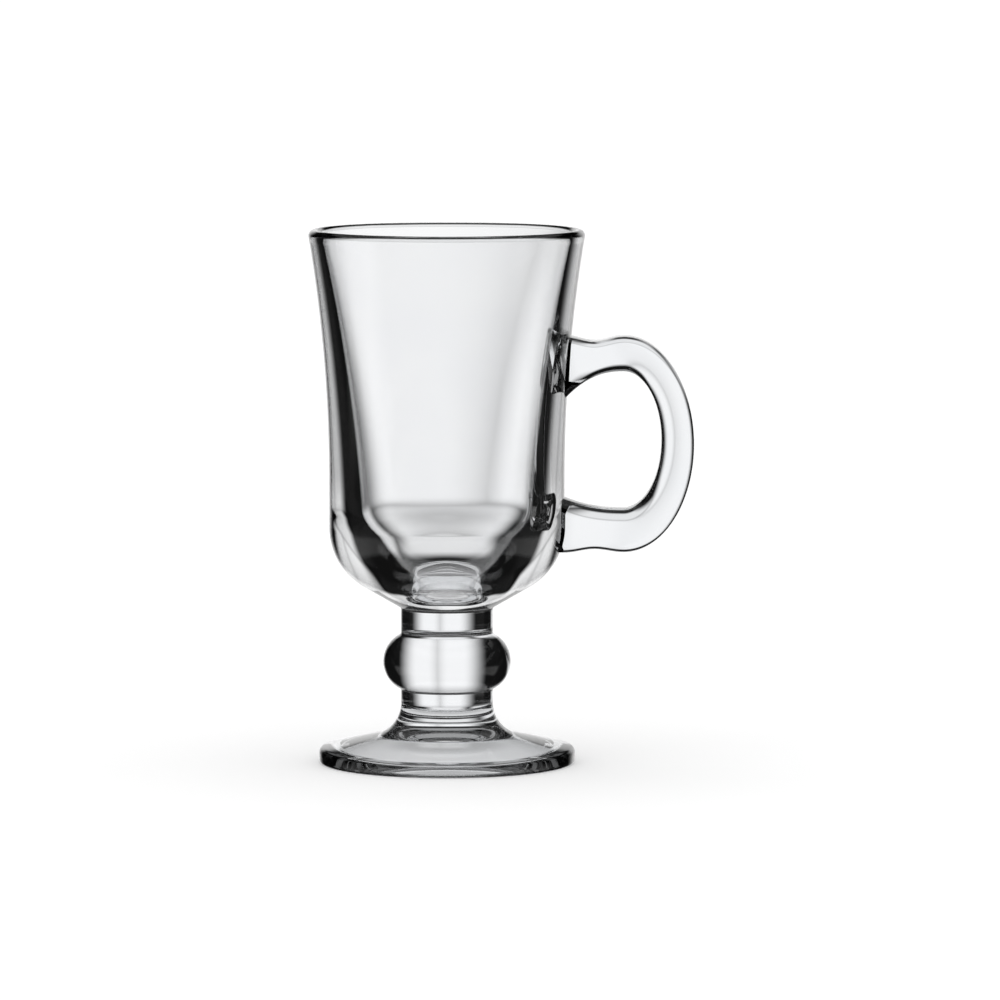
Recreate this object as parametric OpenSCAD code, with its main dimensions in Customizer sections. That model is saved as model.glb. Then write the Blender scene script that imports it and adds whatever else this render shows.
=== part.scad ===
// Footed coffee glass with one side handle: bowl, handle, stem and foot, fused hot to each other.
// Origin at the middle of the resting plane, Z up along the axis of the glass, handle on +X.

/* [Bowl] */
// Outside diameter across the rim
rim_diameter = 77.4; // [74:0.2:82]
// Outside diameter of the straight lower wall
barrel_diameter = 66; // [62:0.2:70]
// Height of the bowl from its joint with the stem to the rim
bowl_height = 106.9; // [100:0.1:116]
// Height of the straight wall between the shoulder and the flare
straight_wall_height = 13.6; // [8:0.2:20]
// Radius of the shoulder where the wall turns in to the base
shoulder_radius = 19; // [16:0.5:21]
// Slope of the underside of the bowl, in degrees above level
base_slope = 30; // [24:1:36]
// Rounding of the crease between the underside of the bowl and the stem
neck_round = 1.2; // [0.6:0.1:2.4]
// Thickness of the rounded lip
lip_thickness = 3.4; // [2.6:0.1:4]
// Thickness of the glass between the floor of the drinking space and the stem
floor_thickness = 8.5; // [7:0.1:14]
// Thickness of the wall where the drinking space turns in to its floor
lower_wall_thickness = 8.7; // [7:0.1:11]
// Bulge of the wall of the drinking space towards the axis, halfway up
cavity_wall_bow = 1.4; // [0.6:0.1:2.4]
// Radius of the floor curve
cavity_floor_radius = 22; // [18:0.5:23]

/* [Stem] */
// Diameter of the short collars above and below the knop
stem_diameter = 25.8; // [22:0.2:30]
// Largest diameter of the knop
knop_diameter = 35.8; // [33:0.2:40]
// Height of the knop
knop_height = 15.4; // [12:0.2:18]
// Height of the collar above the knop
upper_collar_height = 6.8; // [4:0.1:12]
// Height of the collar below the knop
lower_collar_height = 3.9; // [2:0.1:8]
// Rounding of the creases between the knop and the collars
knop_crease_round = 1; // [0.4:0.1:1.6]

/* [Foot] */
// Diameter of the foot
foot_diameter = 72; // [66:0.5:80]
// Height of the foot from the resting plane to its joint with the stem
foot_height = 17; // [15:0.2:20]
// Thickness of the foot at its edge
foot_edge_thickness = 4.6; // [4:0.1:6]
// Radius of the hollow sweep from the stem to the foot
foot_sweep_radius = 9.5; // [8:0.1:10]
// Rounding of the upper edge of the foot
foot_top_round = 1.6; // [1:0.1:2.2]
// Rounding of the lower edge of the foot
foot_bottom_round = 1; // [0.6:0.1:1.4]
// Width of the flat ring that the glass stands on
bearing_width = 5; // [3:0.2:8]
// Rise of the hollow underside inside the bearing ring
underside_rise = 8; // [5:0.5:9]

/* [Handle] */
// Height of the middle of the handle above the joint of bowl and stem
handle_lift = 46.9; // [42:0.1:52]
// Length of the arms from the straight wall to the start of the bend
handle_arm = 16.5; // [12:0.5:20]
// Height of the handle over its outside
handle_height = 60.4; // [54:0.2:64]
// Reach of the outside of the bend beyond the arms
handle_bend = 19.7; // [17:0.1:23]
// Thickness of the upper arm where the bend starts
handle_top_thickness = 9.8; // [8:0.1:12]
// Thickness of the grip in the middle of the bend
handle_grip_thickness = 9.1; // [8:0.1:11]
// Thickness of the lower arm where the bend starts
handle_bottom_thickness = 12; // [9:0.1:13]
// Width of the handle across the glass
handle_width = 13; // [10:0.5:16]
// Rounding of the edges of the handle on its outside
handle_outer_round = 2; // [1:0.1:4]
// Rounding of the edges of the handle on its finger side
handle_finger_round = 4; // [2:0.1:4.6]
// Dip in the outside of the upper arm, halfway along
upper_arm_dip = 1.4; // [0:0.1:2]
// Dip in the outside of the lower arm, halfway along
lower_arm_dip = 0.9; // [0:0.1:2]
// Growth of the upper root on its finger side at the straight wall
upper_root_growth = 7.6; // [3:0.1:9]
// Growth of the lower root on its finger side at the straight wall
lower_root_growth = 2.9; // [1:0.1:5]
// Growth of both roots in width, to each side
root_widening = 1.6; // [0:0.1:2.4]

/* [Hidden] */

$fn = 120;
large_arc_facets = 1440;
edge_steps = 6;
arm_steps = 12;
bend_steps = 32;

// Small overlap with which an arc crosses the lines it runs into, and the reach of a cut past the part
lap = 0.002;
overrun = 1;

// Shares and powers chosen by eye
wedge_share = 3;
lip_trim_share = 0.15;
root_depth_share = 0.4;
root_growth_power = 2.3;

rim_r = rim_diameter / 2;
barrel_r = barrel_diameter / 2;
stem_r = stem_diameter / 2;
knop_r = knop_diameter / 2;
foot_r = foot_diameter / 2;
lip_r = lip_thickness / 2;
cavity_base_r = barrel_r - lower_wall_thickness;

stem_height = lower_collar_height + knop_height + upper_collar_height;
bowl_z = foot_height + stem_height;
rim_z = bowl_z + bowl_height;

// Bowl outside: sloped base that runs into the stem through a small rounding, shoulder arc touching base and wall,
// flare arc touching the wall, lip disc; the wall ends inside the disc, high on the drinking side, low outside
neck_z = bowl_z + neck_round * (1 - sin(base_slope)) / cos(base_slope);
base_corner_z = neck_z + (barrel_r - stem_r) * tan(base_slope);
shoulder_x = barrel_r - shoulder_radius;
shoulder_z = neck_z + (shoulder_x - stem_r) * tan(base_slope) + shoulder_radius / cos(base_slope);
lip_x = rim_r - lip_r;
lip_z = rim_z - lip_r;
lip_trim = lip_r * lip_trim_share;
flare_z = shoulder_z + straight_wall_height;
flare_rise = lip_z - flare_z;
flare_growth = rim_r - barrel_r;
flare_r = (pow(flare_growth, 2) + pow(flare_rise, 2)) / (2 * flare_growth);

// Drinking space: bowed wall arc from the lip to the floor curve, which touches the wall arc and the floor
floor_z = bowl_z + floor_thickness;
floor_arc_z = floor_z + cavity_floor_radius;
cavity_lip_x = rim_r - lip_thickness;
wall_foot = [cavity_base_r, floor_arc_z];
wall_head = [cavity_lip_x, lip_z];
wall_chord = norm(wall_head - wall_foot);
wall_arc_r = (pow(wall_chord / 2, 2) + pow(cavity_wall_bow, 2)) / (2 * cavity_wall_bow);
wall_outward = [wall_head[1] - wall_foot[1], wall_foot[0] - wall_head[0]] / wall_chord;
wall_centre = (wall_foot + wall_head) / 2 + (wall_arc_r - cavity_wall_bow) * wall_outward;
wall_drop = wall_centre[1] - floor_arc_z;
floor_arc_x = wall_centre[0] - sqrt(pow(wall_arc_r + cavity_floor_radius, 2) - pow(wall_drop, 2));
floor_arc_end = atan2(wall_drop, wall_centre[0] - floor_arc_x);
cavity_top_z = rim_z + overrun;

// Stem: knop arc through the collar diameter at both ends of the knop, creases touching knop and collars
knop_z = foot_height + lower_collar_height + knop_height / 2;
knop_growth = knop_r - stem_r;
knop_arc_r = (pow(knop_growth, 2) + pow(knop_height / 2, 2)) / (2 * knop_growth);
knop_arc_x = knop_r - knop_arc_r;
crease_x = stem_r + knop_crease_round;
crease_angle = acos((crease_x - knop_arc_x) / (knop_arc_r + knop_crease_round));
crease_rise = (knop_arc_r + knop_crease_round) * sin(crease_angle);

// Foot: straight slope that touches both the hollow sweep and the rounded upper edge
sweep_centre = [stem_r + foot_sweep_radius, foot_height];
edge_centre = [foot_r - foot_top_round, foot_edge_thickness - foot_top_round];
edge_to_sweep = sweep_centre - edge_centre;
foot_slope = atan2(edge_to_sweep[1], -edge_to_sweep[0])
    - asin((foot_sweep_radius + foot_top_round) / norm(edge_to_sweep));
sweep_end = sweep_centre - foot_sweep_radius * [sin(foot_slope), cos(foot_slope)];
edge_corner_z = sweep_end[1] - (foot_r - sweep_end[0]) * tan(foot_slope);
slope_top_z = sweep_end[1] + sweep_end[0] * tan(foot_slope);
bearing_r = foot_r - foot_bottom_round - bearing_width;
underside_r = (pow(bearing_r, 2) + pow(underside_rise, 2)) / (2 * underside_rise);

// Handle: half ellipses outside and inside the bend, arms that run into the wall
bend_x = barrel_r + handle_arm;
handle_z = bowl_z + handle_lift;
outer_half = handle_height / 2;
inner_top_z = handle_z + outer_half - handle_top_thickness;
inner_bottom_z = handle_z - outer_half + handle_bottom_thickness;
inner_half = (inner_top_z - inner_bottom_z) / 2;
inner_z = (inner_top_z + inner_bottom_z) / 2;
inner_bend = handle_bend - handle_grip_thickness;

// What lies beyond the rounding of a corner: a wedge between two angles with the disc of the rounding taken out
module beyond_round(r, from, to) {
    reach = r * wedge_share;
    mid = (from + to) / 2;
    difference() {
        polygon([
            [0, 0],
            reach * [cos(from), sin(from)],
            reach * [cos(mid), sin(mid)],
            reach * [cos(to), sin(to)]
        ]);
        circle(r + lap);
    }
}

// Everything inside the outer surface of the bowl below the lip, from the axis outward
module bowl_outline() {
    difference() {
        polygon([
            [0, bowl_z],
            [stem_r, bowl_z],
            [stem_r, neck_z],
            [barrel_r, base_corner_z],
            [barrel_r, lip_z],
            [0, lip_z]
        ]);
        translate([shoulder_x, shoulder_z]) beyond_round(shoulder_radius, base_slope - 90, 0);
    }
    translate([stem_r + neck_round, bowl_z]) beyond_round(neck_round, 90 + base_slope, 180);
    difference() {
        polygon([
            [cavity_base_r, flare_z],
            [rim_r, flare_z],
            [rim_r, lip_z - lip_trim],
            [cavity_lip_x, lip_z + lip_trim],
            [cavity_base_r, lip_z + lip_trim]
        ]);
        translate([barrel_r + flare_r, flare_z]) circle(flare_r + lap, $fn = large_arc_facets);
    }
}

// The drinking space, from the axis outward, running on past the rim
module cavity_outline() {
    difference() {
        polygon([
            [0, floor_z],
            [lip_x, floor_z],
            [lip_x, cavity_top_z],
            [0, cavity_top_z]
        ]);
        translate(wall_centre) circle(wall_arc_r, $fn = large_arc_facets);
        translate([floor_arc_x, floor_arc_z]) beyond_round(cavity_floor_radius, -90, floor_arc_end);
    }
}

module bowl() {
    color([0.86, 0.92, 0.93, 0.35])
    rotate_extrude() {
        difference() {
            bowl_outline();
            cavity_outline();
        }
        translate([lip_x, lip_z]) circle(lip_r);
    }
}

module stem() {
    color([0.84, 0.91, 0.92, 0.35])
    rotate_extrude() {
        translate([0, foot_height]) square([stem_r, stem_height]);
        intersection() {
            translate([knop_arc_x, knop_z]) circle(knop_arc_r);
            translate([stem_r / 2, foot_height]) square([knop_r, stem_height]);
        }
        translate([crease_x, knop_z + crease_rise]) beyond_round(knop_crease_round, 180, 180 + crease_angle);
        translate([crease_x, knop_z - crease_rise]) beyond_round(knop_crease_round, 180 - crease_angle, 180);
    }
}

module foot() {
    color([0.82, 0.90, 0.91, 0.35])
    rotate_extrude()
    difference() {
        union() {
            polygon([[0, 0], [foot_r, 0], [foot_r, edge_corner_z], [0, slope_top_z]]);
            difference() {
                polygon([[0, 0], sweep_end, sweep_centre, [0, foot_height]]);
                translate(sweep_centre + [lap, 0]) circle(foot_sweep_radius + lap);
            }
        }
        translate(edge_centre) beyond_round(foot_top_round, 0, 90 - foot_slope);
        translate([foot_r - foot_bottom_round, foot_bottom_round]) beyond_round(foot_bottom_round, -90, 0);
        translate([0, underside_rise - underside_r]) circle(underside_r, $fn = large_arc_facets);
    }
}

// One cross section of the handle between a point on its outside and a point on its finger side: a block with four
// rounded edges, the first and last of them on the outside
function section(outside, inside, half_width) =
    let (
        middle = (outside + inside) / 2,
        half_thickness = norm(outside - inside) / 2,
        outward = (outside - middle) / half_thickness
    )
    [
        for (edge = [0:3], i = [0:edge_steps])
            let (
                turn = 90 * (edge + i / edge_steps),
                out = edge == 0 || edge == 3 ? 1 : -1,
                side = edge < 2 ? 1 : -1,
                r = out > 0 ? handle_outer_round : handle_finger_round,
                p = middle + outward * (out * (half_thickness - r) + r * cos(turn))
            )
            [p[0], side * (half_width - r) + r * sin(turn), p[1]]
    ];
// Arms: share 0 at the straight wall, 1 at the bend, up is 1 for the upper arm and -1 for the lower
function root_growth(share) = pow(1 - share, root_growth_power);
function arm_section(share, up, inside_z, growth, dip) =
    let (x = barrel_r + handle_arm * share)
    section(
        [x, handle_z + up * (outer_half - dip * pow(sin(180 * share), 2))],
        [x, inside_z - up * growth * root_growth(share)],
        handle_width / 2 + root_widening * root_growth(share)
    );
function bend_section(turn) = section(
    [bend_x + handle_bend * cos(turn), handle_z + outer_half * sin(turn)],
    [bend_x + inner_bend * cos(turn), inner_z + inner_half * sin(turn)],
    handle_width / 2
);
arm_shares = [for (i = [0:arm_steps - 1]) (1 + root_depth_share) * i / arm_steps - root_depth_share];
sections = concat(
    [for (share = arm_shares) arm_section(share, 1, inner_top_z, upper_root_growth, upper_arm_dip)],
    [for (i = [0:bend_steps]) bend_section(90 - 180 * i / bend_steps)],
    [
        for (i = [1:arm_steps])
            arm_section(arm_shares[arm_steps - i], -1, inner_bottom_z, lower_root_growth, lower_arm_dip)
    ]
);

// Skin over a run of cross sections, closed at both ends
module loft(rings) {
    count = len(rings);
    sides = len(rings[0]);
    skin = [
        for (k = [0:count - 2], i = [0:sides - 1])
            let (
                a = k * sides + i,
                b = k * sides + (i + 1) % sides
            )
            each [[a, b, b + sides], [a, b + sides, a + sides]]
    ];
    first = [for (i = [sides - 1:-1:0]) i];
    last = [for (i = [0:sides - 1]) (count - 1) * sides + i];
    polyhedron([for (ring = rings) each ring], concat(skin, [first, last]));
}

module handle() {
    color([0.88, 0.93, 0.94, 0.35])
    difference() {
        loft(sections);
        rotate_extrude() bowl_outline();
    }
}

bowl();
handle();
stem();
foot();
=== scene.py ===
# Footed coffee glass with a side handle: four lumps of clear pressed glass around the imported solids
import math

import bmesh
import bpy
from mathutils import Matrix, Vector


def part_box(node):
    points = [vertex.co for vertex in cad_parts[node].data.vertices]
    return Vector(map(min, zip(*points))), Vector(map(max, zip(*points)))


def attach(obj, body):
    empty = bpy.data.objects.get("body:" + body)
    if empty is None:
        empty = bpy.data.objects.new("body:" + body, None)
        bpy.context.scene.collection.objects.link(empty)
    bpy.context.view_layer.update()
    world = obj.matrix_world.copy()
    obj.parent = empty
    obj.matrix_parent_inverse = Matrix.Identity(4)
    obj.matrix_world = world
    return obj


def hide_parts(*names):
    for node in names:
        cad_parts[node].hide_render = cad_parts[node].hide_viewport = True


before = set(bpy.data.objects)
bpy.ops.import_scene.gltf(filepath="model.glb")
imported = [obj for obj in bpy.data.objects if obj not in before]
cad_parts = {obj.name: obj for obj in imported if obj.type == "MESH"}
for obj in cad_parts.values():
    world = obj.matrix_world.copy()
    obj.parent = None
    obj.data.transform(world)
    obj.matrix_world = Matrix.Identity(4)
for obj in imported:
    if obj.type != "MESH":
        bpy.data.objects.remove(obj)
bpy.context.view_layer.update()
print("frame loaded:", sorted(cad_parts))

mm = 0.001
mergeGap = 0.001 * mm
turnSteps = 192      # faces round the axis
sharpAngle = 35      # degrees between faces from which an edge stays crisp


# drawing a half outline in the x-z plane, pen in hand
def startOutline(x, z):
    bm = bmesh.new()
    return bm, bm.verts.new((x, 0, z))


def lineTo(bm, pen, x, z, steps=1):
    start, end = pen.co.copy(), Vector((x, 0, z))
    for i in range(steps):
        pen = bmesh.ops.extrude_vert_indiv(bm, verts=[pen])["verts"][0]
        pen.co = start.lerp(end, (i + 1) / steps)
    return pen


def arcRound(bm, pen, centre, turn, steps):    # turn in degrees, positive runs against the clock
    made = bmesh.ops.spin(bm, geom=[pen], cent=(centre[0], 0, centre[1]), axis=(0, -1, 0),
                          angle=math.radians(turn), steps=steps, use_merge=False)
    return made["geom_last"][0]


def spinOutline(bm):
    bmesh.ops.spin(bm, geom=bm.verts[:] + bm.edges[:], cent=(0, 0, 0), axis=(0, 0, 1),
                   angle=math.tau, steps=turnSteps, use_merge=True)
    bmesh.ops.remove_doubles(bm, verts=bm.verts, dist=mergeGap)
    bmesh.ops.recalc_face_normals(bm, faces=bm.faces)


def finishSkin(bm):
    for face in bm.faces:
        face.smooth = True
    for edge in bm.edges:
        edge.smooth = edge.calc_face_angle(0) < math.radians(sharpAngle)


def newObject(name, bm, materials):
    mesh = bpy.data.meshes.new(name)
    bm.to_mesh(mesh)
    bm.free()
    for material in materials:
        mesh.materials.append(material)
    piece = bpy.data.objects.new(name, mesh)
    bpy.context.scene.collection.objects.link(piece)
    return piece


def cutBy(piece, cutter):    # takes the cutter's body out, its faces keep the cutter's material
    cut = piece.modifiers.new("cut", "BOOLEAN")
    cut.object = cutter
    cut.operation = "DIFFERENCE"
    cut.solver = "EXACT"
    cut.material_mode = "TRANSFER"
    shaped = piece.evaluated_get(bpy.context.evaluated_depsgraph_get())
    mesh = bpy.data.meshes.new_from_object(shaped)
    piece.modifiers.clear()
    piece.data = mesh


def addPiece(piece, node):
    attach(piece, "root")
    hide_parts(node)
    print(f"{piece.name}: {len(piece.data.polygons)} faces, stands for {node}")


# nodes
def addNode(tree, kind, **settings):
    node = tree.nodes.new(kind)
    for name, value in settings.items():
        setattr(node, name, value)
    return node


def feed(tree, socket, value):
    if isinstance(value, bpy.types.NodeSocket):
        tree.links.new(value, socket)
    else:
        socket.default_value = value


def mathNode(tree, operation, first, second=0.0):
    node = addNode(tree, "ShaderNodeMath", operation=operation)
    feed(tree, node.inputs[0], first)
    feed(tree, node.inputs[1], second)
    return node.outputs[0]


def rangeNode(tree, value, low, high, toLow=0.0, toHigh=1.0):    # soft step
    node = addNode(tree, "ShaderNodeMapRange", interpolation_type="SMOOTHSTEP")
    for name, given in (("Value", value), ("From Min", low), ("From Max", high),
                        ("To Min", toLow), ("To Max", toHigh)):
        feed(tree, node.inputs[name], given)
    return node.outputs["Result"]


def mixNode(tree, kind, share, first, second):
    node = addNode(tree, "ShaderNodeMix", data_type=kind)
    inputs = [socket for socket in node.inputs if socket.enabled]
    for socket, value in zip(inputs, (share, first, second)):
        feed(tree, socket, value)
    return next(socket for socket in node.outputs if socket.enabled)


# the skin that all the glass shares: slow ripples from the mould, chill marks, a breath of haze
pressMarks = {"rippleDetail": 1, "scale": 45, "detail": 3, "faint": 0.35, "full": 0.7}


def pressedSkinGroup():
    group = bpy.data.node_groups.new("pressedSkin", "ShaderNodeTree")
    for name, kind in (("Tint", "NodeSocketColor"), ("Deep Tint", "NodeSocketColor"),
                       ("Ripple Scale", "NodeSocketFloat"), ("Haze", "NodeSocketFloat")):
        group.interface.new_socket(name, in_out="INPUT", socket_type=kind)
    for name, kind in (("Colour", "NodeSocketColor"), ("Roughness", "NodeSocketFloat"),
                       ("Height", "NodeSocketFloat")):
        group.interface.new_socket(name, in_out="OUTPUT", socket_type=kind)
    given = addNode(group, "NodeGroupInput").outputs
    wanted = addNode(group, "NodeGroupOutput").inputs
    place = addNode(group, "ShaderNodeTexCoord").outputs["Object"]

    ripple = addNode(group, "ShaderNodeTexNoise")
    ripple.inputs["Detail"].default_value = pressMarks["rippleDetail"]
    group.links.new(place, ripple.inputs["Vector"])
    group.links.new(given["Ripple Scale"], ripple.inputs["Scale"])
    group.links.new(ripple.outputs["Fac"], wanted["Height"])

    marks = addNode(group, "ShaderNodeTexNoise")
    marks.inputs["Scale"].default_value = pressMarks["scale"]
    marks.inputs["Detail"].default_value = pressMarks["detail"]
    group.links.new(place, marks.inputs["Vector"])
    mark = rangeNode(group, marks.outputs["Fac"], pressMarks["faint"], pressMarks["full"])
    tint = mixNode(group, "RGBA", mark, given["Tint"], given["Deep Tint"])
    group.links.new(tint, wanted["Colour"])
    group.links.new(mathNode(group, "MULTIPLY", mark, given["Haze"]), wanted["Roughness"])
    return group


pressedSkin = pressedSkinGroup()


def glassMaterial(name, look):
    material = bpy.data.materials.new(name)
    material.use_nodes = True
    tree = material.node_tree
    glass = tree.nodes["Principled BSDF"]
    glass.inputs["Transmission Weight"].default_value = 1
    glass.inputs["IOR"].default_value = look["ior"]
    skin = addNode(tree, "ShaderNodeGroup", node_tree=pressedSkin)
    skin.inputs["Tint"].default_value = look["tint"]
    skin.inputs["Deep Tint"].default_value = look["deepTint"]
    skin.inputs["Ripple Scale"].default_value = look["rippleScale"]
    skin.inputs["Haze"].default_value = look["haze"]
    bump = addNode(tree, "ShaderNodeBump")
    bump.inputs["Strength"].default_value = look["rippleStrength"]
    bump.inputs["Distance"].default_value = look["rippleHeight"]
    tree.links.new(skin.outputs["Height"], bump.inputs["Height"])
    tree.links.new(skin.outputs["Colour"], glass.inputs["Base Color"])
    tree.links.new(skin.outputs["Roughness"], glass.inputs["Roughness"])
    tree.links.new(bump.outputs["Normal"], glass.inputs["Normal"])
    return material


def fusedJointMaterial():    # where two lumps are fused there is no surface left to see
    material = bpy.data.materials.new("fusedJoint")
    material.use_nodes = True
    clear = material.node_tree.nodes["Principled BSDF"]
    clear.inputs["Alpha"].default_value = 0
    return material


fusedJoint = fusedJointMaterial()
clearGlass = {"ior": 1.52, "tint": (0.99, 0.995, 1, 1), "deepTint": (0.975, 0.98, 0.99, 1),
              "rippleScale": 60, "rippleStrength": 0.1, "rippleHeight": 0.05 * mm, "haze": 0.01}
# the solid lumps are a little deeper in colour
thickGlass = {**clearGlass, "tint": (0.94, 0.95, 0.965, 1), "deepTint": (0.915, 0.93, 0.95, 1)}
print("glass mixed")

# foot
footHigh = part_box("foot")[1]
stemLow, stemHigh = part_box("stem")
bowlLow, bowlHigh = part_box("bowl")
foot = {
    "radius": footHigh.y, "height": footHigh.z, "stemRadius": 12.9 * mm,
    "edgeThickness": 4.6 * mm, "sweepRadius": 9.5 * mm, "topRound": 1.6 * mm, "bottomRound": 1 * mm,
    "bearingWidth": 5 * mm, "hollowRise": 8 * mm, "arcSteps": 24, "edgeSteps": 8, "bearingSteps": 2,
}


def buildFoot():
    sweep = Vector((foot["stemRadius"] + foot["sweepRadius"], foot["height"]))
    edge = Vector((foot["radius"] - foot["topRound"], foot["edgeThickness"] - foot["topRound"]))
    way = sweep - edge
    slope = math.atan2(way.y, -way.x) - math.asin((foot["sweepRadius"] + foot["topRound"]) / way.length)
    lowEdge = Vector((foot["radius"] - foot["bottomRound"], foot["bottomRound"]))
    bearing = lowEdge.x - foot["bearingWidth"]
    rise = foot["hollowRise"]
    hollowRadius = (bearing ** 2 + rise ** 2) / (2 * rise)

    bm, pen = startOutline(0, foot["height"])
    pen = lineTo(bm, pen, foot["stemRadius"], foot["height"])
    pen = arcRound(bm, pen, sweep, 90 - math.degrees(slope), foot["arcSteps"])
    rim = edge + foot["topRound"] * Vector((math.sin(slope), math.cos(slope)))
    pen = lineTo(bm, pen, rim.x, rim.y, foot["edgeSteps"])
    pen = arcRound(bm, pen, edge, math.degrees(slope) - 90, foot["edgeSteps"])
    pen = lineTo(bm, pen, foot["radius"], lowEdge.y)
    pen = arcRound(bm, pen, lowEdge, -90, foot["edgeSteps"])
    pen = lineTo(bm, pen, bearing, 0, foot["bearingSteps"])
    arcRound(bm, pen, (0, rise - hollowRadius), math.degrees(math.asin(bearing / hollowRadius)), foot["arcSteps"])
    spinOutline(bm)
    for face in bm.faces:
        face.material_index = int(face.calc_center_median().z > foot["height"] - mergeGap)
    finishSkin(bm)
    return newObject("glassFoot", bm, [glassMaterial("footGlass", thickGlass), fusedJoint])


addPiece(buildFoot(), "foot")

# stem
stem = {
    "radius": foot["stemRadius"], "bottom": stemLow.z, "top": stemHigh.z, "knopRadius": 17.9 * mm,
    "knopHeight": 15.4 * mm, "lowerCollar": 3.9 * mm, "creaseRound": 1 * mm,
    "knopSteps": 40, "creaseSteps": 8, "collarSteps": 4,
}


def buildStem():
    knopZ = stem["bottom"] + stem["lowerCollar"] + stem["knopHeight"] / 2
    growth = stem["knopRadius"] - stem["radius"]
    knopArc = (growth ** 2 + (stem["knopHeight"] / 2) ** 2) / (2 * growth)
    knop = Vector((stem["knopRadius"] - knopArc, knopZ))
    creaseX = stem["radius"] + stem["creaseRound"]
    angle = math.acos((creaseX - knop.x) / (knopArc + stem["creaseRound"]))
    rise = (knopArc + stem["creaseRound"]) * math.sin(angle)
    turn = math.degrees(angle)

    bm, pen = startOutline(0, stem["top"])
    pen = lineTo(bm, pen, stem["radius"], stem["top"])
    pen = lineTo(bm, pen, stem["radius"], knopZ + rise, stem["collarSteps"])
    pen = arcRound(bm, pen, (creaseX, knopZ + rise), turn, stem["creaseSteps"])
    pen = arcRound(bm, pen, knop, -2 * turn, stem["knopSteps"])
    pen = arcRound(bm, pen, (creaseX, knopZ - rise), turn, stem["creaseSteps"])
    pen = lineTo(bm, pen, stem["radius"], stem["bottom"], stem["collarSteps"])
    lineTo(bm, pen, 0, stem["bottom"])
    spinOutline(bm)
    for face in bm.faces:
        height = face.calc_center_median().z
        face.material_index = int(height < stem["bottom"] + mergeGap or height > stem["top"] - mergeGap)
    finishSkin(bm)
    return newObject("glassStem", bm, [glassMaterial("stemGlass", thickGlass), fusedJoint])


addPiece(buildStem(), "stem")

# bowl
bowl = {
    "rimRadius": bowlHigh.y, "bottom": bowlLow.z, "top": bowlHigh.z, "stemRadius": foot["stemRadius"],
    "barrelRadius": 33 * mm, "straightWall": 13.6 * mm, "shoulderRadius": 19 * mm, "baseSlope": 30,
    "neckRound": 1.2 * mm, "lipThickness": 3.4 * mm, "floorThickness": 8.5 * mm, "lowerWall": 8.7 * mm,
    "wallBow": 1.4 * mm, "floorRadius": 22 * mm, "arcSteps": 32, "flareSteps": 48, "lipSteps": 20, "neckSteps": 8,
    "wallSteps": 12, "floorSteps": 2,
}


def drawBowlOutside():
    slope = math.radians(bowl["baseSlope"])
    neck = Vector((bowl["stemRadius"] + bowl["neckRound"], bowl["bottom"]))
    neckZ = bowl["bottom"] + bowl["neckRound"] * (1 - math.sin(slope)) / math.cos(slope)
    shoulderX = bowl["barrelRadius"] - bowl["shoulderRadius"]
    shoulderZ = (neckZ + (shoulderX - bowl["stemRadius"]) * math.tan(slope)
                 + bowl["shoulderRadius"] / math.cos(slope))
    shoulder = Vector((shoulderX, shoulderZ))
    baseEnd = shoulder + bowl["shoulderRadius"] * Vector((math.sin(slope), -math.cos(slope)))
    lipRadius = bowl["lipThickness"] / 2
    lip = Vector((bowl["rimRadius"] - lipRadius, bowl["top"] - lipRadius))
    flareZ = shoulderZ + bowl["straightWall"]
    rise, growth = lip.y - flareZ, bowl["rimRadius"] - bowl["barrelRadius"]
    flareRadius = (growth ** 2 + rise ** 2) / (2 * growth)
    flareTurn = math.degrees(math.asin(rise / flareRadius))

    bm, pen = startOutline(0, bowl["bottom"])
    pen = lineTo(bm, pen, bowl["stemRadius"], bowl["bottom"])
    pen = arcRound(bm, pen, neck, bowl["baseSlope"] - 90, bowl["neckSteps"])
    pen = lineTo(bm, pen, baseEnd.x, baseEnd.y, bowl["wallSteps"])
    pen = arcRound(bm, pen, shoulder, 90 - bowl["baseSlope"], bowl["arcSteps"])
    pen = lineTo(bm, pen, bowl["barrelRadius"], flareZ, bowl["wallSteps"])
    pen = arcRound(bm, pen, (bowl["barrelRadius"] + flareRadius, flareZ), -flareTurn, bowl["flareSteps"])
    return bm, pen, lip


def buildBowlCore():    # the bowl without its drinking space, which trims the handle's roots
    bm, pen, lip = drawBowlOutside()
    lineTo(bm, pen, 0, lip.y)
    spinOutline(bm)
    return newObject("bowlCore", bm, [fusedJoint])


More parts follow.
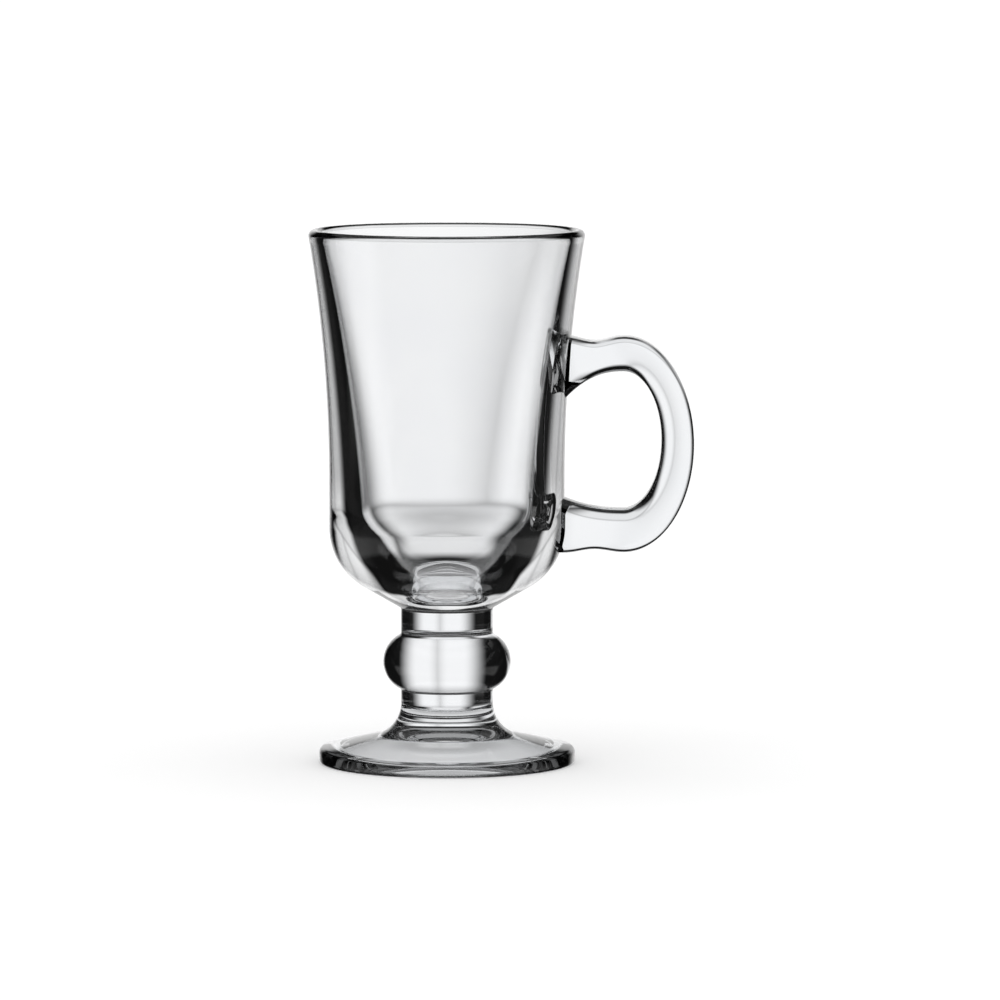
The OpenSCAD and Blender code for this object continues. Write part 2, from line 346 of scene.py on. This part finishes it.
def buildBowl():
    bm, pen, lip = drawBowlOutside()
    floorZ = bowl["bottom"] + bowl["floorThickness"]
    arcZ = floorZ + bowl["floorRadius"]
    baseRadius = bowl["barrelRadius"] - bowl["lowerWall"]
    lipInside = bowl["rimRadius"] - bowl["lipThickness"]
    low, high = Vector((baseRadius, arcZ)), Vector((lipInside, lip.y))
    chord = (high - low).length
    wallRadius = (chord ** 2 / 4 + bowl["wallBow"] ** 2) / (2 * bowl["wallBow"])
    outward = Vector((high.y - low.y, low.x - high.x)) / chord
    wall = (low + high) / 2 + outward * (wallRadius - bowl["wallBow"])
    reach = wallRadius + bowl["floorRadius"]
    arc = Vector((wall.x - math.sqrt(reach ** 2 - (wall.y - arcZ) ** 2), arcZ))
    touch = wall + (arc - wall) * wallRadius / reach
    wallTurn = 2 * math.degrees(math.asin((high - touch).length / 2 / wallRadius))
    floorTurn = 90 + math.degrees(math.atan2(wall.y - arcZ, wall.x - arc.x))

    pen = arcRound(bm, pen, lip, 180, bowl["lipSteps"])
    pen = arcRound(bm, pen, wall, wallTurn, bowl["flareSteps"])
    pen = arcRound(bm, pen, arc, -floorTurn, bowl["arcSteps"])
    lineTo(bm, pen, 0, floorZ, bowl["floorSteps"])
    spinOutline(bm)
    for face in bm.faces:
        face.material_index = int(face.calc_center_median().z < bowl["bottom"] + mergeGap)
    return newObject("glassBowl", bm, [glassMaterial("bowlGlass", clearGlass), fusedJoint])


glassBowl = buildBowl()
bowlCore = buildBowlCore()

# handle
handleLow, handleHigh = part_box("handle")
handle = {
    "reach": handleHigh.x, "bottom": handleLow.z, "top": handleHigh.z, "wall": bowl["barrelRadius"],
    "arm": 16.5 * mm, "topThickness": 9.8 * mm, "gripThickness": 9.1 * mm, "bottomThickness": 12 * mm,
    "width": 13 * mm, "outerRound": 2 * mm, "fingerRound": 4 * mm, "upperDip": 1.4 * mm, "lowerDip": 0.9 * mm,
    "upperGrowth": 7.6 * mm, "lowerGrowth": 2.9 * mm, "rootWidening": 1.6 * mm, "growthPower": 2.3,
    "rootDepthShare": 0.15, "armSteps": 28, "bendSteps": 72, "edgeSteps": 9,
}


def handleRing(bm, outside, inside, halfWidth):    # a block section with rounded edges
    outward = outside - inside
    half = outward.length / 2
    corners = bmesh.ops.create_grid(bm, x_segments=1, y_segments=1, size=1)["verts"]
    bmesh.ops.scale(bm, vec=(half, halfWidth, 1), verts=corners)
    outer = [v for v in corners if v.co.x > 0]
    finger = [v for v in corners if v.co.x < 0]
    for verts, size in ((outer, handle["outerRound"]), (finger, handle["fingerRound"])):
        made = bmesh.ops.bevel(bm, geom=verts, offset=size, offset_type="OFFSET", segments=handle["edgeSteps"],
                               profile=0.5, material=-1, affect="VERTICES")
    face = made["verts"][0].link_faces[0]
    middle = (outside + inside) / 2
    out = outward.normalized()
    along = Vector((out.z, 0, -out.x))
    place = Matrix((out, (0, 1, 0), along)).transposed().to_4x4()
    place.translation = middle
    bmesh.ops.transform(bm, matrix=place, verts=face.verts[:])
    return face


def handleSections():
    middleZ = (handle["top"] + handle["bottom"]) / 2
    outerHalf = (handle["top"] - handle["bottom"]) / 2
    innerTop = handle["top"] - handle["topThickness"]
    innerBottom = handle["bottom"] + handle["bottomThickness"]
    innerZ, innerHalf = (innerTop + innerBottom) / 2, (innerTop - innerBottom) / 2
    bendX = handle["wall"] + handle["arm"]
    outerBend = handle["reach"] - bendX
    innerBend = outerBend - handle["gripThickness"]

    def armSection(share, up, insideZ, growth, dip):
        x = handle["wall"] + handle["arm"] * share
        grown = (1 - share) ** handle["growthPower"]
        outside = Vector((x, 0, middleZ + up * (outerHalf - dip * math.sin(math.pi * share) ** 2)))
        inside = Vector((x, 0, insideZ - up * growth * grown))
        return outside, inside, handle["width"] / 2 + handle["rootWidening"] * grown

    def bendSection(turn):
        side, lift = math.cos(turn), math.sin(turn)
        return (Vector((bendX + outerBend * side, 0, middleZ + outerHalf * lift)),
                Vector((bendX + innerBend * side, 0, innerZ + innerHalf * lift)), handle["width"] / 2)

    depth, steps = handle["rootDepthShare"], handle["armSteps"]
    shares = [(1 + depth) * i / steps - depth for i in range(steps)]
    upper = [armSection(share, 1, innerTop, handle["upperGrowth"], handle["upperDip"]) for share in shares]
    lower = [armSection(share, -1, innerBottom, handle["lowerGrowth"], handle["lowerDip"])
             for share in reversed(shares)]
    bend = [bendSection(math.pi * (0.5 - i / handle["bendSteps"])) for i in range(handle["bendSteps"] + 1)]
    return upper + bend + lower


def buildHandle(name, material):
    bm = bmesh.new()
    faces = [handleRing(bm, *section) for section in handleSections()]
    loops = [face.edges[:] for face in faces]
    bmesh.ops.delete(bm, geom=faces[1:-1], context="FACES_ONLY")
    for near, far in zip(loops, loops[1:]):
        bmesh.ops.bridge_loops(bm, edges=near + far)
    bmesh.ops.recalc_face_normals(bm, faces=bm.faces)
    return newObject(name, bm, [material])


def weldRoots(bowlPiece, handlePiece, pocketMaterial):    # closes the bowl with the very faces of the roots
    bm = bmesh.new()
    bm.from_mesh(bowlPiece.data)
    pocket = bowlPiece.data.materials.find(pocketMaterial.name)
    bmesh.ops.delete(bm, geom=[f for f in bm.faces if f.material_index == pocket], context="FACES")
    roots = bmesh.new()
    roots.from_mesh(handlePiece.data)
    joint = handlePiece.data.materials.find(fusedJoint.name)
    bmesh.ops.delete(roots, geom=[f for f in roots.faces if f.material_index != joint], context="FACES")
    bmesh.ops.reverse_faces(roots, faces=roots.faces)
    for face in roots.faces:
        face.material_index = 1
    patch = bpy.data.meshes.new("rootPatch")
    roots.to_mesh(patch)
    roots.free()
    bm.from_mesh(patch)
    bpy.data.meshes.remove(patch)
    bmesh.ops.remove_doubles(bm, verts=bm.verts, dist=mergeGap)
    bm.to_mesh(bowlPiece.data)
    bm.free()
    bowlPiece.data.materials.pop(index=pocket)


def finishCut(piece):
    bm = bmesh.new()
    bm.from_mesh(piece.data)
    finishSkin(bm)
    print(f"{piece.name} open edges:", sum(not edge.is_manifold for edge in bm.edges))
    bm.to_mesh(piece.data)
    bm.free()


pocketSkin = bpy.data.materials.new("pocketSkin")    # marks what the handle cuts out of the bowl
glassHandle = buildHandle("glassHandle", glassMaterial("handleGlass", thickGlass))
handleBlank = buildHandle("handleBlank", pocketSkin)
cutBy(glassHandle, bowlCore)
cutBy(glassBowl, handleBlank)
weldRoots(glassBowl, glassHandle, pocketSkin)
finishCut(glassBowl)
finishCut(glassHandle)
bpy.data.objects.remove(bowlCore)
bpy.data.objects.remove(handleBlank)
bpy.data.materials.remove(pocketSkin)
addPiece(glassBowl, "bowl")
addPiece(glassHandle, "handle")

# studio: even soft light, and in a dark room soft boxes that only the glass sees, so that its edges go dark;
# side is in degrees to the left of straight behind the glass, low and high are above the horizon
studio = {
    "floorSize": 80, "floorColour": (0.94, 0.94, 0.94, 1), "floorFill": 0.13, "roomLight": 0.006,
    "reflections": 2, "wornShare": 0.1,    # light that went to and fro in the glass more often is nearly used up
    "bounces": 32, "glossyBounces": 16,
}
softBoxes = [
    {"side": 6, "half": 14.5, "low": -15, "high": 15, "soft": 10, "fade": 4, "level": 1.05},    # behind, soft seam
    {"side": -16, "half": 13.5, "low": -15, "high": 15, "soft": 10, "fade": 4, "level": 1.05},
    {"side": 0, "half": 17, "low": -33, "high": -13.5, "soft": 7, "fade": 4, "level": 0.9},    # table behind
    {"side": -92, "half": 20, "low": -30, "high": -8, "soft": 6, "fade": 4, "level": 0.6},     # table at the sides
    {"side": 92, "half": 20, "low": -30, "high": -8, "soft": 6, "fade": 4, "level": 0.6},
    {"side": 0, "half": 360, "low": 34, "high": 180, "soft": 6, "fade": 4, "level": 0.35},     # overhead
]
# behind the glass in the other views, seen straight through it and not by reflection; the first is the table below
windows = [
    {"side": 0, "half": 360, "low": -180, "high": -58, "soft": 6, "fade": 5, "level": 0.9},
    {"side": 90, "half": 20, "low": -20, "high": 15, "soft": 6, "fade": 5, "level": 0.9},
    {"side": 45, "half": 20, "low": -36, "high": -16, "soft": 6, "fade": 5, "level": 0.9},
    {"side": 225, "half": 24, "low": -32, "high": 2, "soft": 6, "fade": 5, "level": 0.9},
]
# painted light: the card's glow stands for the table lit under the glass, and its dim middle is a painted shadow
# of the stem and foot
card = {"radius": 30 * mm, "drop": 0.2 * mm, "sides": 96, "paintedShadowRadius": 10 * mm, "paintedShadowEdgeRadius": 22 * mm,
        "paintedShadowLevel": 0.55, "level": 0.8}


def boxLight(tree, heading, elevation, box):
    side = math.radians(box["side"])
    facing = addNode(tree, "ShaderNodeVectorMath", operation="DOT_PRODUCT")
    tree.links.new(heading, facing.inputs[0])
    facing.inputs[1].default_value = (-math.sin(side), math.cos(side), 0)
    away = mathNode(tree, "ARCCOSINE", facing.outputs["Value"])
    half, low, high, soft, fade = (math.radians(box[name]) for name in ("half", "low", "high", "soft", "fade"))
    across = rangeNode(tree, away, half - soft, half + soft, 1.0, 0.0)
    above = rangeNode(tree, elevation, low - fade, low + fade)
    below = rangeNode(tree, elevation, high - fade, high + fade, 1.0, 0.0)
    lit = mathNode(tree, "MULTIPLY", across, mathNode(tree, "MULTIPLY", above, below))
    return mathNode(tree, "MULTIPLY", lit, box["level"])


def buildWorld():
    world = bpy.data.worlds.new("studio")
    bpy.context.scene.world = world
    world.use_nodes = True
    tree = world.node_tree
    direction = addNode(tree, "ShaderNodeTexCoord").outputs["Generated"]
    flat = addNode(tree, "ShaderNodeVectorMath", operation="MULTIPLY")
    tree.links.new(direction, flat.inputs[0])
    flat.inputs[1].default_value = (1, 1, 0)
    heading = addNode(tree, "ShaderNodeVectorMath", operation="NORMALIZE")
    tree.links.new(flat.outputs["Vector"], heading.inputs[0])
    parts = addNode(tree, "ShaderNodeSeparateXYZ")
    tree.links.new(direction, parts.inputs[0])
    elevation = mathNode(tree, "ARCSINE", parts.outputs["Z"])
    path = addNode(tree, "ShaderNodeLightPath").outputs
    straight = mathNode(tree, "LESS_THAN", path["Glossy Depth"], 0.5)
    light = studio["roomLight"]
    for box in softBoxes + windows:
        glow = boxLight(tree, heading.outputs["Vector"], elevation, box)
        if box in windows:
            glow = mathNode(tree, "MULTIPLY", glow, straight)
        light = mathNode(tree, "MAXIMUM", glow, light)
    worn = mathNode(tree, "GREATER_THAN", path["Glossy Depth"], studio["reflections"] + 0.5)
    light = mixNode(tree, "FLOAT", worn, light, mathNode(tree, "MULTIPLY", light, studio["wornShare"]))
    seenInGlass = mathNode(tree, "MAXIMUM", path["Is Glossy Ray"], path["Is Transmission Ray"])
    strength = mixNode(tree, "FLOAT", seenInGlass, 1.0, light)
    tree.links.new(strength, tree.nodes["Background"].inputs["Strength"])
    tree.nodes["Background"].inputs["Color"].default_value = (1, 1, 1, 1)


def buildFloor():
    bm = bmesh.new()
    bmesh.ops.create_grid(bm, x_segments=1, y_segments=1, size=studio["floorSize"] / 2)
    material = bpy.data.materials.new("paleFloor")
    material.use_nodes = True
    tree = material.node_tree
    paper = tree.nodes["Principled BSDF"]
    paper.inputs["Base Color"].default_value = studio["floorColour"]
    paper.inputs["Roughness"].default_value = 1
    paper.inputs["Specular IOR Level"].default_value = 0
    paper.inputs["Emission Color"].default_value = (1, 1, 1, 1)
    path = addNode(tree, "ShaderNodeLightPath").outputs
    fill = mathNode(tree, "MULTIPLY", path["Is Camera Ray"], studio["floorFill"])
    tree.links.new(fill, paper.inputs["Emission Strength"])
    floor = newObject("floor", bm, [material])
    floor.visible_transmission = False
    floor.visible_glossy = False


def buildCard():    # a card glowing white under the foot, standing for the lit table and seen through the glass alone; it is dimmer in the middle, a painted shadow of the glass
    bm = bmesh.new()
    bmesh.ops.create_circle(bm, cap_ends=True, segments=card["sides"], radius=card["radius"],
                            matrix=Matrix.Translation((0, 0, -card["drop"])))
    material = bpy.data.materials.new("glowCardWithPaintedShadow")
    material.use_nodes = True
    material.cycles.emission_sampling = "NONE"
    tree = material.node_tree
    paper = tree.nodes["Principled BSDF"]
    paper.inputs["Base Color"].default_value = (0, 0, 0, 1)
    paper.inputs["Specular IOR Level"].default_value = 0
    paper.inputs["Emission Color"].default_value = (1, 1, 1, 1)
    place = addNode(tree, "ShaderNodeTexCoord").outputs["Object"]
    away = addNode(tree, "ShaderNodeVectorMath", operation="LENGTH")
    tree.links.new(place, away.inputs[0])
    # painted shadow: the glow drops from level to the dim level towards the middle, under the stem
    glow = rangeNode(tree, away.outputs["Value"], card["paintedShadowRadius"], card["paintedShadowEdgeRadius"],
                     card["paintedShadowLevel"], card["level"])
    tree.links.new(glow, paper.inputs["Emission Strength"])
    sheet = newObject("card", bm, [material])
    sheet.visible_camera = False
    sheet.visible_diffuse = False
    sheet.visible_shadow = False


camera = {"place": (0.0149, -1.985, 0.258), "tilt": 5.295, "lens": 255.85, "sensor": 36}


def buildCamera():
    data = bpy.data.cameras.new("camera")
    data.lens = camera["lens"]
    data.sensor_width = camera["sensor"]
    shot = bpy.data.objects.new("camera", data)
    shot.location = camera["place"]
    shot.rotation_euler = (math.radians(90 - camera["tilt"]), 0, 0)
    bpy.context.scene.collection.objects.link(shot)
    bpy.context.scene.camera = shot


buildWorld()
buildFloor()
buildCard()
buildCamera()
scene = bpy.context.scene
scene.view_settings.view_transform = "Standard"
scene.cycles.max_bounces = studio["bounces"]
scene.cycles.transmission_bounces = studio["bounces"]
scene.cycles.transparent_max_bounces = studio["bounces"]
scene.cycles.glossy_bounces = studio["glossyBounces"]
print("studio set")
